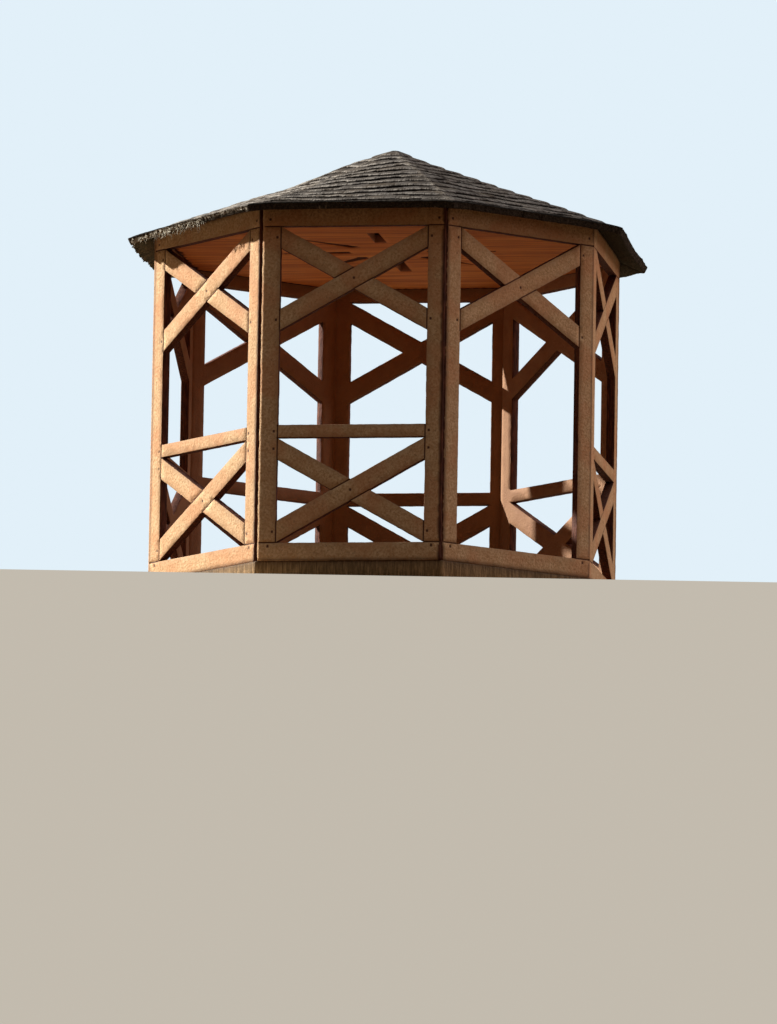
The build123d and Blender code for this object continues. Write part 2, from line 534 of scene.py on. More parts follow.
def panel_shapes(has_hand_rail):
    """The loops, burnt lines and nail marks of a panel, from its bottom edge at height 0."""
    half = OUTER_WIDTH / 2
    rail_line = WALL_HEIGHT - TOP_RAIL
    upper = rail_line - BRACE_BAY
    loops = [np.array([[-half, 0], [half, 0], [half, WALL_HEIGHT], [-half, WALL_HEIGHT]])]
    under, over, left, right, crossing = bay_shapes(upper)
    loops += [over, left, right]
    lines = [np.array(crossing)]
    ends = [(upper, upper + BRACE_END), (rail_line - BRACE_END, rail_line)]
    middles = [upper + BRACE_BAY / 2]
    opening_bottom = SILL
    if has_hand_rail:
        opening_bottom = SILL + BRACE_BAY + HAND_RAIL
        low_under, low_over, low_left, low_right, low_crossing = bay_shapes(SILL)
        loops += [low_under, low_over, low_left, low_right]
        lines.append(np.array(low_crossing))
        ends += [(SILL, SILL + BRACE_END), (SILL + BRACE_BAY - BRACE_END, SILL + BRACE_BAY)]
        ends.append((SILL + BRACE_BAY, opening_bottom))
        middles.append(SILL + BRACE_BAY / 2)
    opening = [[-BAY_HALF, opening_bottom], [-BAY_HALF, upper], under[0], [BAY_HALF, upper]]
    loops.append(np.array(opening + [[BAY_HALF, opening_bottom]]))
    lines.append(mirrored([[[BAY_HALF, low], [BAY_HALF, high]] for low, high in ends]))
    lines.append(mirrored([[[BAY_HALF, height], [half, height]] for height in (SILL, rail_line)]))
    nails = [[BAY_HALF + NAIL_INSET, (low + high) / 2] for low, high in ends]
    nails.append([BAY_HALF + STILE / 2, SILL - NAIL_INSET])
    nails.append([half - CORNER_NAIL[0], rail_line + CORNER_NAIL[1]])
    nails = np.concatenate([mirrored(nails), [[0, height] for height in middles]])
    return loops, np.concatenate(lines), nails


# %% Standing the panels in their places
MEETING_OVERLAP = 0.08
EDGE_REACH = 0.5

# Four panels are glued a little off their places: millimetres along, millimetres out, and the slope with
# which the last of them leans in towards its back end
GLUED_OFF = {
    "front_left": (0.08, 0.1, 0),
    "entrance": (-0.14, 0, 0),
    "front_right": (0, -0.33, 0),
    "right": (0, -0.35, -0.02),
}

# The long edges that are darkest: the beam has burnt the two that meet at the corner between the front left
# panel and the entrance, and the right edge of the left panel is darkened partly as char and partly as
# painted
# shade at its corner. For each: the panel, -1 for its left edge or 1 for its right one, and how far the dark
# reaches into its face
CHARRED_AND_SHADED_EDGES = {"front_left": (1, 0.07), "entrance": (-1, 0.03), "left": (1, 0.05)}

# How much of that reach is charred through, how dark the char is on the face, and how far down it goes
CHAR_FULL = 0.6
CHAR_ON_FACE = 0.7
CHAR_DEPTH = 0.5 * BOARD

# The edges whose arrises are rubbed off, pale, instead of burnt: the sign of each, how far from it the face
# is drawn together, how far the face and the first ring are rubbed back, how many times deeper the rounding
# goes, how wide the pale band is and what is left of its burn
RUBBED_EDGES = {"front_left": -1, "front_right": -1}
RUBBED_REACH = 0.5
RUBBED_BACK = 0.1
RUBBED_RING_BACK = 0.6 * RUBBED_BACK
RUBBED_DEEPER = 2.2
RUBBED_WIDTH = 0.12
RUBBED_BURN = 0.12

# Depths between the uneven face and the first ring, the first and the second, the second and the third
FACE_END = 0.016
FIRST_RING_END = 0.6 * CUT_EASE
EASE_END = 1.2 * CUT_EASE


def leaning_edges(along, depth):
    """The two long edges of a panel, which slope from the arris to the mitre and stay on it behind that.
    So a shallow V-shaped groove runs down each corner, and the corner is closed behind it."""
    mitre = (WALL_APOTHEM - depth) * math.tan(SECTOR / 2) + MEETING_OVERLAP
    move = (mitre - OUTER_WIDTH / 2) * np.clip(depth / CHAR_START, 0, 1)
    near = np.clip((np.abs(along) - OUTER_WIDTH / 2 + EDGE_REACH) / EDGE_REACH, 0, 1)
    return along + np.sign(along) * near * move


def from_long_edge(points, sign):
    """How far points are from a panel's left edge, for a sign of -1, or from its right one, for 1."""
    return OUTER_WIDTH / 2 - sign * points[:, 0]


def char_and_shade_edge(points, marks, sign, band):
    """Char a long edge and the band of the face beside it. On the left panel this dark is partly painted
    shade at the corner.
    """
    char = np.clip(1 + CHAR_FULL - from_long_edge(points, sign) / band, 0, 1)
    char = char * (points[:, 2] > -CHAR_DEPTH)
    marks["burn"] = np.maximum(marks["burn"], CHAR_ON_FACE * char)
    marks["cut"] = np.maximum(marks["cut"], char)


def rub_edge(points, marks, sign):
    """Round the arris of a long edge further, and take the char off it."""
    from_edge = from_long_edge(points, sign)
    depth = -points[:, 2]
    on_face = depth < FACE_END
    on_ease = (from_edge < CUT_EASE) & (depth < EASE_END) & ~on_face
    on_first_ring = on_ease & (depth < FIRST_RING_END)
    near = np.clip((RUBBED_REACH - from_edge) / (RUBBED_REACH - CUT_EASE), 0, 1) * on_face
    points[:, 2] *= np.where(on_ease, RUBBED_DEEPER, 1)
    points[:, 0] -= sign * (RUBBED_BACK * near + RUBBED_RING_BACK * on_first_ring)
    pale = (from_edge < RUBBED_WIDTH) & (points[:, 2] > -RUBBED_DEEPER * EASE_END)
    marks["burn"] = np.where(pale, RUBBED_BURN, marks["burn"])
    marks["cut"] = marks["cut"] * ~pale


def stand_panel(side, seed):
    """A panel's sheet turned to its side of the plan: along the wall, up, and out."""
    loops, lines, nails = panel_shapes(side != "entrance")
    widths = np.full((len(lines), 2), LINE_WIDTH)
    points, faces, marks = cut_sheet(loops, lines, widths, nails, BOARD, seed)
    if side in CHARRED_AND_SHADED_EDGES:
        char_and_shade_edge(points, marks, *CHARRED_AND_SHADED_EDGES[side])
    if side in RUBBED_EDGES:
        rub_edge(points, marks, RUBBED_EDGES[side])
    aside, proud, lean = GLUED_OFF.get(side, (0, 0, 0))
    along = leaning_edges(points[:, 0], -points[:, 2]) + aside
    out = WALL_APOTHEM + points[:, 2] + proud + lean * along
    x, y = on_side(side, along, out)
    z = kept_under_roof(x, y, points[:, 1] + FLOOR_THICKNESS, out, PRESSED_SHARE * TOP_RAIL)
    piece = fill_mesh(side + "_wall", np.stack([x, y, z], axis=1), faces, marks)
    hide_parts(side + "_panel")
    return piece


walls = [stand_panel(side, 100 + 10 * place) for place, side in enumerate(SIDE_NAMES)]


# %% [markdown]
# The floor and the ceiling are plates cut from sheet too. The ceiling shows from below through the open
# sides: two open slots for the roof's tabs, and six tapered grooves that point to the middle.

# %% The floor and the ceiling
SLOT_WIDTH = 1.3
SLOT_START = 6.4
SLOT_LENGTH = 6.2
SLIT_START = 5.3
SLIT_END = 12.0
SLIT_WIDTHS = [1.6, 0.45]
SLOT_SIDES = ("front_left", "back_right")


def octagon(apothem):
    """The corners of a regular outline with flat sides towards each wall, anticlockwise."""
    angles = (np.arange(SIDES) + 0.5) * SECTOR - math.pi / 2
    return apothem / math.cos(SECTOR / 2) * np.stack([np.cos(angles), np.sin(angles)], axis=1)


def turned(shape, turn):
    """Points of the plan turned anticlockwise about the middle."""
    spin = np.array([[math.cos(turn), math.sin(turn)], [-math.sin(turn), math.cos(turn)]])
    return np.asarray(shape, float) @ spin


def floor_piece():
    """The floor plate, its face up."""
    nothing = np.empty((0, 2))
    points, faces, marks = cut_sheet([octagon(WALL_APOTHEM)], [], [], nothing, FLOOR_THICKNESS, 11)
    return fill_mesh("floor", points + [0, 0, FLOOR_THICKNESS], faces, marks)


def ceiling_piece():
    """The ceiling plate, its face down: the plan is mirrored front to back and the depth points up."""
    low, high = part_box("ceiling_plate")
    slot = np.array([[-1, -1], [-1, 1], [1, 1], [1, -1]]) * [SLOT_WIDTH / 2, SLOT_LENGTH / 2]
    slot = slot - [0, SLOT_START + SLOT_LENGTH / 2]
    slots = [(turned(slot, TURNS[side]) * [1, -1])[::-1] for side in SLOT_SIDES]
    slit = [[0, -SLIT_START], [0, -SLIT_END]]
    lines = np.array([turned(slit, TURNS[side]) * [1, -1] for side in SIDE_NAMES if side not in SLOT_SIDES])
    widths = np.array([SLIT_WIDTHS] * len(lines))
    thickness = (high.z - low.z) / MM
    loops = [octagon(high.x / MM)] + slots
    points, faces, marks = cut_sheet(loops, lines, widths, np.empty((0, 2)), thickness, 12)
    x, y, z = (points * [1, -1, -1] + [0, 0, low.z / MM]).T
    z = kept_under_roof(x, y, z, np.hypot(x, y) * math.cos(SECTOR / 2), PRESSED_SHARE * thickness)
    return fill_mesh("ceiling", np.stack([x, y, z], axis=1), faces, marks)


floor = floor_piece()
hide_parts("floor_plate")
ceiling = ceiling_piece()
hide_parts("ceiling_plate")

# %% [markdown]
# The roof is eight facets of dark card, folded over the walls. Courses of shingles are worked into its
# face: each shingle slants out of the sheet and ends in a rounded lip, and below that lip is a step painted
# dark, partly as burn and partly as painted shade.
# No two shingles are alike, so every course gets its own random widths, drops and leans, and its lip
# wanders up and down the slope.
#
# A facet could be a flat grid with a bump, but from low down the lips are the outline of the roof, so they
# are real relief here. Rows of points follow the lip of each course, which keeps every lip sharp with few
# rows. A course further down is longer and has more columns, and the change of count is closed like a zip.

# %% Sizes of the shingles
COURSES = 13
COURSE = 2.35
COLUMN_STEP = 0.105

# How deep a lip lies under the sheet, how much deeper the shingle starts in its step, how its slant bulges,
# how its nose turns down, where the last course is darkened at the eave, partly as char and partly as painted
# shade, and the splits, of which few are deep
LIP_DEPTH = 0.1
STEP = 0.23
BULGE = 1.4
NOSE = 0.08
EAVE_NOSE = 0.04
EAVE_CHAR_AND_SHADE = 0.62
EAVE_CHAR_AND_SHADE_FADE = 0.06
SPLIT_DEPTH = 0.08
SPLIT_HALF = 0.08
SPLIT_POWER = 1.5

# What the shingles of a course draw: how wide they are, how far outside the hip the first one begins, how
# far each one hangs and slants, and the share of both at the eave, the share of the step that it is thick,
# and where its course reads the waves. The outermost ones turn about a spot END_MIDDLE from their inner ends.
NARROWEST = 1.2
WIDEST = 3.4
FIRST_PART = 1.4
DROP = 0.2
LEAN = 0.1
EAVE_CALM = 0.4
THICKNESSES = (0.7, 1.3)
WAVE_PLACES = 50
END_MIDDLE = 0.9

# How the lips wander and how uneven the faces are: the height, size and seed of each wave. At the eave
# the waves of the lip are lower, and it is set back a little.
LIP_WAVES = [(0.06, 0.5, 5), (0.17, 1.5, 6), (0.36, 3.8, 9)]
FINE_WAVES = [(0.018, 0.33, 7), (0.035, 1.1, 8)]
EAVE_WAVE = 0.2
EAVE_SETBACK = 0.12

# The rows of points down a course, as shares of it. The last row turns in under the lip, and is painted dark
# there as painted shade under the lip.
ROW_SHARES = np.array([0, 0.05, 0.14, 0.27, 0.42, 0.57, 0.7, 0.81, 0.885, 0.94, 0.975, 1, 1.004])
UNDER_LIP = 0.08
UNDER_LIP_SHADE = 8 / 9
NEXT_START = 0.008 * COURSE
FEWEST_COLUMNS = 6

# Bands from a hip into the facet, in millimetres, how much flatter the shingles are near a hip, and bands
# down a course, as shares of it
HIP_CALM_BAND = (0.05, 0.75)
HIP_RUB_BAND = (0.08, 0.5)
HIP_FLAT_BAND = (0.4, 2.5)
HIP_FLATTER = 0.35
NOSE_LENGTH = 0.22
# The foot of each step is darkened, partly as burn and partly as painted shade
CHAR_AND_SHADE_BAND = (0.02, 0.24)
# Each lip is pale, partly from rubbing and partly as a painted highlight
RUB_AND_HIGHLIGHT_BAND = (0.76, 0.96)
# The splits are darkened by this share, partly as burn and partly as painted shade in the crease
SPLIT_CHAR_AND_SHADE = 0.5


# %% One course of shingles
def shingle_course(number, draw):
    """The random make-up of a course: where its shingles part and how deeply, and each one's drop, lean,
    thickness and tone."""
    end = ROOF_LENGTH - (COURSES - 1 - number) * COURSE
    half = end * math.cos(ROOF_SLOPE) * HALF_SPREAD
    count = math.ceil(2 * half / NARROWEST) + 3
    parts = -half - draw.uniform(0, FIRST_PART) + np.cumsum(draw.uniform(NARROWEST, WIDEST, count))
    inner_middles = (parts[1:] + parts[:-1]) / 2
    at_eave = number == COURSES - 1
    calm = EAVE_CALM if at_eave else 1
    return {
        "number": number,
        "end": end,
        "half": half,
        "parts": parts,
        "middles": np.concatenate([[parts[0] - END_MIDDLE], inner_middles, [parts[-1] + END_MIDDLE]]),
        "drops": draw.uniform(-DROP, DROP, count + 1) * calm,
        "leans": draw.uniform(-LEAN, LEAN, count + 1) * calm,
        "thickness": draw.uniform(*THICKNESSES, count + 1),
        "tones": draw.uniform(0, 1, count + 1),
        "splits": draw.uniform(0, 1, count) ** SPLIT_POWER,
        "wave": draw.uniform(-WAVE_PLACES, WAVE_PLACES),
        "at_eave": at_eave,
    }


def rise_from_hips(place, half, band):
    """0 at a hip, and 1 from the far end of a band inside it."""
    return smooth_step((1 - np.abs(place)) * half, *band)


def calm_at_hips(place, half):
    """The share of all that is uneven, which is 0 at a hip, so that two facets meet in the same line."""
    return rise_from_hips(place, half, HIP_CALM_BAND)


def lip_line(course, place):
    """Where a course ends, in millimetres down the slope, at places from -1 to 1 across the facet: its
    shingle's drop and lean, and three sizes of wave."""
    across = place * course["half"]
    which = np.searchsorted(course["parts"], across)
    own = course["drops"][which] + course["leans"][which] * (across - course["middles"][which])
    spots = np.stack([across, 0 * across + course["wave"]], axis=-1)
    wave = waves(spots, LIP_WAVES)
    if course["at_eave"]:
        wave = EAVE_WAVE * wave - EAVE_SETBACK
    return course["end"] + calm_at_hips(place, course["half"]) * (own + wave)


def course_surface(course, upper, place):
    """Rows of points over one course: across, reach, depth, distance down and marks, as arrays of rows by
    columns. With s the share of the way down, the depth under the sheet is the lip's own depth, plus its
    thickness times (1 - s) to the power BULGE, plus a round nose near the lip, a V-shaped split between
    neighbours, and fine unevenness."""
    share = ROW_SHARES[:, None]
    down = upper + (lip_line(course, place) - upper) * share
    reach = down * math.cos(ROOF_SLOPE)
    across = place * reach * HALF_SPREAD
    calm = calm_at_hips(place, course["half"])
    which = np.searchsorted(course["parts"], place * course["half"])
    lip = 0 if course["at_eave"] else LIP_DEPTH
    thick = LIP_DEPTH - lip + STEP * (1 + calm * (course["thickness"][which] - 1))
    if course["number"] == 0:
        thick = 0 * thick
    nose = EAVE_NOSE if course["at_eave"] else NOSE
    nose = nose * np.clip((share - (1 - NOSE_LENGTH)) / NOSE_LENGTH, 0, 1) ** 2
    gaps = np.abs(across[..., None] - course["parts"])
    split = np.clip(1 - gaps.min(axis=-1) / SPLIT_HALF, 0, 1) * calm * course["splits"][gaps.argmin(axis=-1)]
    spots = np.stack([across, down + course["wave"]], axis=-1)
    fine = waves(spots, FINE_WAVES)
    hip = 1 - rise_from_hips(place, course["half"], HIP_RUB_BAND)
    near_hip = 1 - rise_from_hips(place, course["half"], HIP_FLAT_BAND)
    slant = thick * (1 - np.minimum(share, 1)) ** BULGE * (1 - HIP_FLATTER * near_hip)
    under = share > 1
    depth = lip + slant + nose + SPLIT_DEPTH * split + calm * fine + UNDER_LIP * under
    flat = 0 * across
    # Painted shade, partly burn: dark at the foot of each step and under each lip
    char_and_shade = np.maximum(1 - smooth_step(share, *CHAR_AND_SHADE_BAND), UNDER_LIP_SHADE * under) + flat
    # At the eave the last course darkens towards its edge, partly as char and partly as painted shade
    if course["at_eave"]:
        char_and_shade = np.maximum(char_and_shade, smooth_step(share, EAVE_CHAR_AND_SHADE, EAVE_CHAR_AND_SHADE + EAVE_CHAR_AND_SHADE_FADE))
    marks = {
        # The lip's pale band: partly rubbed wear, partly a painted highlight
        "rub_and_highlight": smooth_step(share, *RUB_AND_HIGHLIGHT_BAND) + flat,
        "char_and_shade": np.maximum(char_and_shade, SPLIT_CHAR_AND_SHADE * split),
        "hip": hip + flat,
        "tone": 0.5 + calm * (course["tones"][which] - 0.5) + flat,
    }
    return across, reach, depth, down, marks


# %% Closing two rows like a zip
def zip_rows(upper, lower, upper_places, lower_places):
    """Triangles between two rows with unlike spacing. Walking along both together, each new point closes
    a triangle with the newest point of either row."""
    places = np.concatenate([upper_places[1:], lower_places[1:]])
    from_upper = np.arange(len(places)) < len(upper_places) - 1
    from_upper = from_upper[np.argsort(places, kind="stable")]
    at_upper = np.cumsum(from_upper)
    at_lower = np.cumsum(~from_upper)
    newest = np.where(from_upper, upper[at_upper], lower[at_lower])
    return np.stack([upper[at_upper - from_upper], lower[at_lower - ~from_upper], newest], axis=1)


def grid_quads(indices):
    """The four-sided faces of a grid of point numbers, or of a stack of grids."""
    upper, lower = indices[..., :-1, :], indices[..., 1:, :]
    corners = [upper[..., :-1], lower[..., :-1], lower[..., 1:], upper[..., 1:]]
    return np.stack(corners, axis=-1).reshape(-1, 4)


# %% The whole face of a facet
def facet_face(draw):
    """All courses of a facet, joined: points as (across, reach, depth, down), their marks, the faces, and
    the numbers of the points round the rim."""
    points = [np.array([[0, 0, LIP_DEPTH, 0]])]
    marks = {"rub_and_highlight": [np.zeros(1)], "char_and_shade": [np.zeros(1)], "hip": [np.ones(1)], "tone": [np.full(1, 0.5)]}
    triangles, quads = [], []
    left_side, right_side = [np.array([0])], []
    last_row, last_place = np.array([0]), np.array([-1.0])
    before = None
    for number in range(COURSES):
        course = shingle_course(number, draw)
        columns = max(FEWEST_COLUMNS, math.ceil(2 * course["half"] / COLUMN_STEP))
        place = np.linspace(-1, 1, columns + 1)
        upper = lip_line(before, place) + NEXT_START if before else APEX_START + 0 * place
        across, reach, depth, down, made = course_surface(course, upper, place)
        first = sum(len(group) for group in points)
        indices = first + np.arange(across.size).reshape(across.shape)
        points.append(np.stack([across, reach, depth, down], axis=-1).reshape(-1, 4))
        for label, values in made.items():
            marks[label].append(values.ravel())
        triangles.append(zip_rows(last_row, indices[0], last_place, place))
        quads.append(grid_quads(indices))
        left_side.append(indices[:, 0])
        right_side.append(indices[:, -1])
        last_row, last_place, before = indices[-1], place, course
    rim = np.concatenate([np.concatenate(left_side), last_row[1:-1], np.concatenate(right_side)[::-1]])
    return (
        np.concatenate(points),
        {label: np.concatenate(groups) for label, groups in marks.items()},
        [np.concatenate(triangles), np.concatenate(quads)],
        rim,
    )


# %% [markdown]
# Under the face come the cut edge and the underside. The rim of the face is carried down in a few rings,
# roughened a little at the eave, and the last ring is filled with sparse triangles. A card that was cut
# square to its face is a little shorter below than above, so the rings step back as they go down.

# %% A closed facet in its place
EDGE_LEVELS = np.array([0.1, 0.3, 0.5, 0.7, 0.88, 1.0])

# The cut edge at the eave: the band down the slope in which it begins, how far it is set back, how rough it
# is and how much rougher where it is torn, the shares and sizes of its waves, and the coarse wave of the
# ragged eave. Each level reads the waves LEVEL_PLACES further on.
CUT_BAND_DOWN = (ROOF_LENGTH - 0.6, ROOF_LENGTH - 0.5)
EDGE_SETBACK = 0.05
EDGE_ROUGHNESS = 0.04
FRAY_ROUGHNESS = 0.14
ROUGH_SIZES = ((1, 0.22), (0.7, 0.09))
RAGGED_ROUGHNESS = 0.22
RAGGED_SIZE = 0.5
LEVEL_PLACES = 3

# The sparse grid of the underside: its step, how far it stays off the outline, and its two corners
UNDER_STEP = 1.6
UNDER_CLEARANCE = 0.5
UNDER_CORNERS = ((-12, 1), (12, 28))

# The least that a width is divided by, because it is 0 at the apex
LEAST_WIDTH = 1e-9

# The grain of the card is read this many millimetres further on for each radian that a facet is turned
LAY_APART = 40

# The left eave, whose back end is at minus across: where it is torn, where its skin is rubbed and how much,
# and where the char and painted shade of its steps are taken off its face. Levels go from 0 at the face to 1
# at the underside.
TORN_BAND = (-0.5, 2.5)
TORN_LEVELS = (0.15, 0.45)
RUBBED_SKIN = 0.3
RUBBED_SKIN_BAND = (-8.5, -6.5)
RUBBED_SKIN_LEVELS = (0.4, 0.6)
LIFTED_DARK_BAND = (-0.5, 2)
LIFTED_DARK_BAND_DOWN = (ROOF_LENGTH - 1.2, ROOF_LENGTH - 0.9)

# The hip between the left and the back left eaves is darkened at its lower end, partly as char and partly as
# painted shade. That end is the left end of one facet, at -1, and the right end of the other: the band from
# it into a facet, and the one down the slope
CHARRED_AND_SHADED_CORNER = {"left": -1, "back_left": 1}
CORNER_BAND = (0.15, 0.6)
CORNER_BAND_DOWN = (25.5, 28)


def frayed(side, across, level):
    """How torn the eave is, which is only on the left side: behind the middle its lower layers are torn
    and the skin is rubbed all along but for the back end."""
    if side != "left":
        return 0 * across
    torn = (1 - smooth_step(across, *TORN_BAND)) * smooth_step(level, *TORN_LEVELS)
    rubbed = RUBBED_SKIN * smooth_step(across, *RUBBED_SKIN_BAND)
    return torn + rubbed * (1 - smooth_step(level, *RUBBED_SKIN_LEVELS))


def stood(local, side):
    """Points of a facet, as across, out and up, turned to its side of the plan and settled."""
    across, reach, height = local.T
    return np.stack(settled(*on_side(side, across, reach), height), axis=1)


def edge_roughness(side, seed, across, level, at_eave, fray):
    """How far a ring of the cut edge stands out: fine waves that are higher where the card is torn, all of
    it set back a little, and coarse ones that grow downwards on the ragged back left eave."""
    spots = np.stack([across, 0 * across + LEVEL_PLACES * level], axis=-1)
    kinds = [(height, size, seed + 3 + place) for place, (height, size) in enumerate(ROUGH_SIZES)]
    rough = waves(spots, kinds) * (EDGE_ROUGHNESS * at_eave + FRAY_ROUGHNESS * fray)
    rough = rough - EDGE_SETBACK * at_eave
    if side == "back_left":
        ragged = RAGGED_ROUGHNESS * level * at_eave
        rough = rough + ragged * smooth_noise(spots, RAGGED_SIZE, seed + 5)
    return rough


def underside(outline):
    """Sparse spots inside the outline of the underside, and the triangles over its corners and the spots."""
    edges = loop_edges(outline)
    sparse = spot_grid(*UNDER_CORNERS, UNDER_STEP)
    sparse = sparse[inside(sparse, edges) & (distance_to_lines(sparse, edges) > UNDER_CLEARANCE)]
    flat = np.concatenate([outline, sparse])
    ring = np.arange(len(outline))
    given = np.stack([ring, np.roll(ring, -1)], axis=1)
    made, _, triangles, *_ = delaunay_2d_cdt(flat.tolist(), given.tolist(), [], 1, WELD)
    print("underside made", len(made), "of", len(flat), "points")
    return sparse, np.array(triangles)


def darken_and_lift_face(side, across, reach, down, marks):
    """Darken the corner between the left and the back left eaves, partly as char and partly as painted shade,
    and take the char and painted shade of the steps off the front half of the left one.
    """
    # The lower end of that hip is painted dark, partly as char and partly as painted shade
    if side in CHARRED_AND_SHADED_CORNER:
        off_hip = np.abs(CHARRED_AND_SHADED_CORNER[side] * reach * HALF_SPREAD - across)
        char = (1 - smooth_step(off_hip, *CORNER_BAND)) * smooth_step(down, *CORNER_BAND_DOWN)
        marks["char_and_shade"] = np.maximum(marks["char_and_shade"], char)
        marks["hip"] = marks["hip"] * (1 - char)
    # The front half of the left eave loses the char and painted shade of its steps
    if side == "left":
        lifted_dark = smooth_step(across, *LIFTED_DARK_BAND) * smooth_step(down, *LIFTED_DARK_BAND_DOWN)
        marks["char_and_shade"] = marks["char_and_shade"] * (1 - lifted_dark)


def roof_facet(side, seed):
    """One facet as a closed mesh in the place of its node: the face, rings down the cut edge and the hips,
    and an underside of sparse triangles."""
    top, marks, faces, rim = facet_face(np.random.default_rng(seed))
    across, reach, depth, down = top.T
    darken_and_lift_face(side, across, reach, down, marks)
    place = across[rim] / np.maximum(reach[rim] * HALF_SPREAD, LEAST_WIDTH)
    at_eave = smooth_step(down[rim], *CUT_BAND_DOWN) * calm_at_hips(place, TOP_REACH * HALF_SPREAD)
    height = top_height(reach) - depth / math.cos(ROOF_SLOPE)
    shrink = UNDER_REACH / TOP_REACH - 1
    levels = [np.stack([across, reach, height], axis=1)]
    frays = []
    for level in EDGE_LEVELS:
        fray = frayed(side, across[rim], level) * at_eave
        frays.append(fray)
        rough = edge_roughness(side, seed, across[rim], level, at_eave, fray)
        ring_reach = reach[rim] * (1 + shrink * level) + rough
        ring_height = height[rim] + (under_height(ring_reach) - height[rim]) * level
        levels.append(np.stack([place * ring_reach * HALF_SPREAD, ring_reach, ring_height], axis=1))
    sparse, below = underside(levels[-1][:, :2])
    levels.append(np.column_stack([sparse, under_height(sparse[:, 1])]))
    local = np.concatenate(levels)

    ring = np.arange(len(rim))
    rings = [rim] + [len(top) + len(rim) * step + ring for step in range(len(EDGE_LEVELS))]
    edge_faces = grid_quads(np.stack([np.append(row, row[0]) for row in rings]))
    rest = len(local) - len(top)
    made_marks = {label: np.append(values, np.zeros(rest)) for label, values in marks.items()}
    made_marks["fray"] = np.concatenate([np.zeros(len(top))] + frays + [np.zeros(len(sparse))])
    made_marks["fray"][rim] = frays[0]
    lay_down = np.append(down, local[len(top) :, 1])
    made_marks["lay"] = np.column_stack([local[:, 0], lay_down, np.full(len(local), LAY_APART * TURNS[side])])
    faces = faces + [edge_faces, below + rings[-1][0]]
    finishes = [0] * (len(faces) - 2) + [1, 2]
    piece = fill_mesh(side + "_shingles", stood(local, side), faces, made_marks, finishes)
    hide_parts(side + "_roof_facet")
    return piece


facets = [roof_facet(side, 300 + 10 * place) for place, side in enumerate(SIDE_NAMES)]

# %% [markdown]
# At the left eave the card has split into its layers, and torn strands and small flakes hang from the cut
# edge. Hair particles could do this, but a hair has no width. Here each strand is a flat tube that tapers
# along a parabola, and a flake is only a wide strand. All of them are worked out at once as one array of
# strands by rings by points round the ring.

# %% Torn strands at the left eave
STRANDS = 150
STRAND_RINGS = 6
STRAND_ROUND = 6

# Most strands crowd round one place, the others are spread out: the share of the crowd, its middle and
# spread, the range of the others, and the range that all of them are held in
CROWD_SHARE = 0.6
CROWD = (-2.9, 2.2)
OTHERS = (-11.5, 3.0)
ROOTS = (-11.5, 3.4)

# The ranges of what each strand draws, how deep it is rooted, and the half thickness that it has with no
# width and gains with its width
STRAND_LEVELS = (0.35, 1.0)
STRAND_LENGTHS = (0.25, 0.85)
STRAND_WIDTHS = (0.03, 0.07)
STRAND_TWIST = 0.5
ROOT_DEPTH = 0.12
THINNEST = 0.018
THICKER = 0.12
TAPER_POWER = 0.6
TIP_SHARE = 0.12

FLAKE_PLACES = np.array([-11.45, -9.6, -8.9, -5.0, -4.3, -3.4, -2.1, -1.6, -0.3, 0.7, 10.2])
FLAKE_WIDTHS = np.array([0.18, 0.14, 0.12, 0.2, 0.14, 0.12, 0.24, 0.16, 0.14, 0.1, 0.13])
FLAKE_LENGTHS = np.array([0.25, 0.55, 0.45, 0.7, 0.6, 0.5, 0.85, 0.7, 0.6, 0.4, 0.3])


